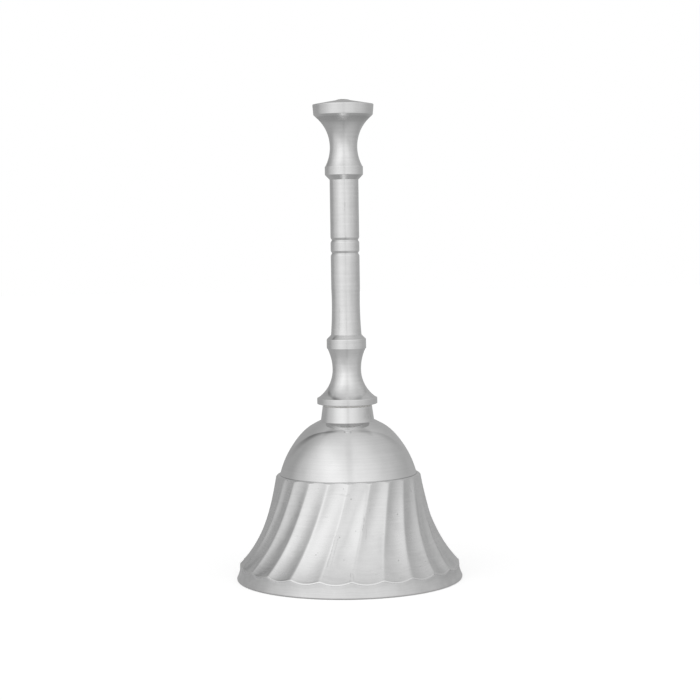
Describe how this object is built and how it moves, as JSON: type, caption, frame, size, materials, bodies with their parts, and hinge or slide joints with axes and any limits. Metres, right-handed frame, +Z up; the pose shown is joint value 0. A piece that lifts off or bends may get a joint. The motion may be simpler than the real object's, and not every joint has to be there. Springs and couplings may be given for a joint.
{
  "type": "hand bell",
  "caption": "Cast aluminium hand bell with a winding fluted skirt, a polished dome, a slender turned handle with a disc knob, and a clapper that swings inside.",
  "frame": {"origin": "centre of the mouth, on the plane that the lip stands on", "axes": "+Z up along the handle, away from the mouth; the clapper's pin lies along Y at rest"},
  "size_m": [0.08, 0.08, 0.1689],
  "materials": {
    "cast_aluminium": "polished dome, satin skirt with fine turning lines",
    "turned_aluminium": "satin, turned",
    "washer_fibre": "matt fibre, pale grey",
    "steel": "bright zinc plated",
    "clapper_steel": "turned, lightly worn"
  },
  "bodies": {
    "bell": {"bell_shell": "cast_aluminium", "neck_washer": "washer_fibre", "handle_foot": "turned_aluminium", "lower_grip": "turned_aluminium", "centre_ring": "turned_aluminium", "upper_grip": "turned_aluminium", "top_knob": "turned_aluminium", "tie_rod": "steel", "crown_washer": "steel", "crown_nut": "steel"},
    "yoke": {"clapper_yoke": "steel", "clapper_pin": "steel"},
    "clapper": {"clapper_rod": "steel", "clapper_ball": "clapper_steel"}
  },
  "joints": [
    {"name": "clapper_swivel", "type": "hinge", "parent": "bell", "child": "yoke", "pos_m": [0, 0, 0.0495], "axis": [0, 0, 1], "continuous": true},
    {"name": "clapper_swing", "type": "hinge", "parent": "yoke", "child": "clapper", "pos_m": [0, 0, 0.0436], "axis": [0, 1, 0], "range_deg": [-38, 38]}
  ]
}
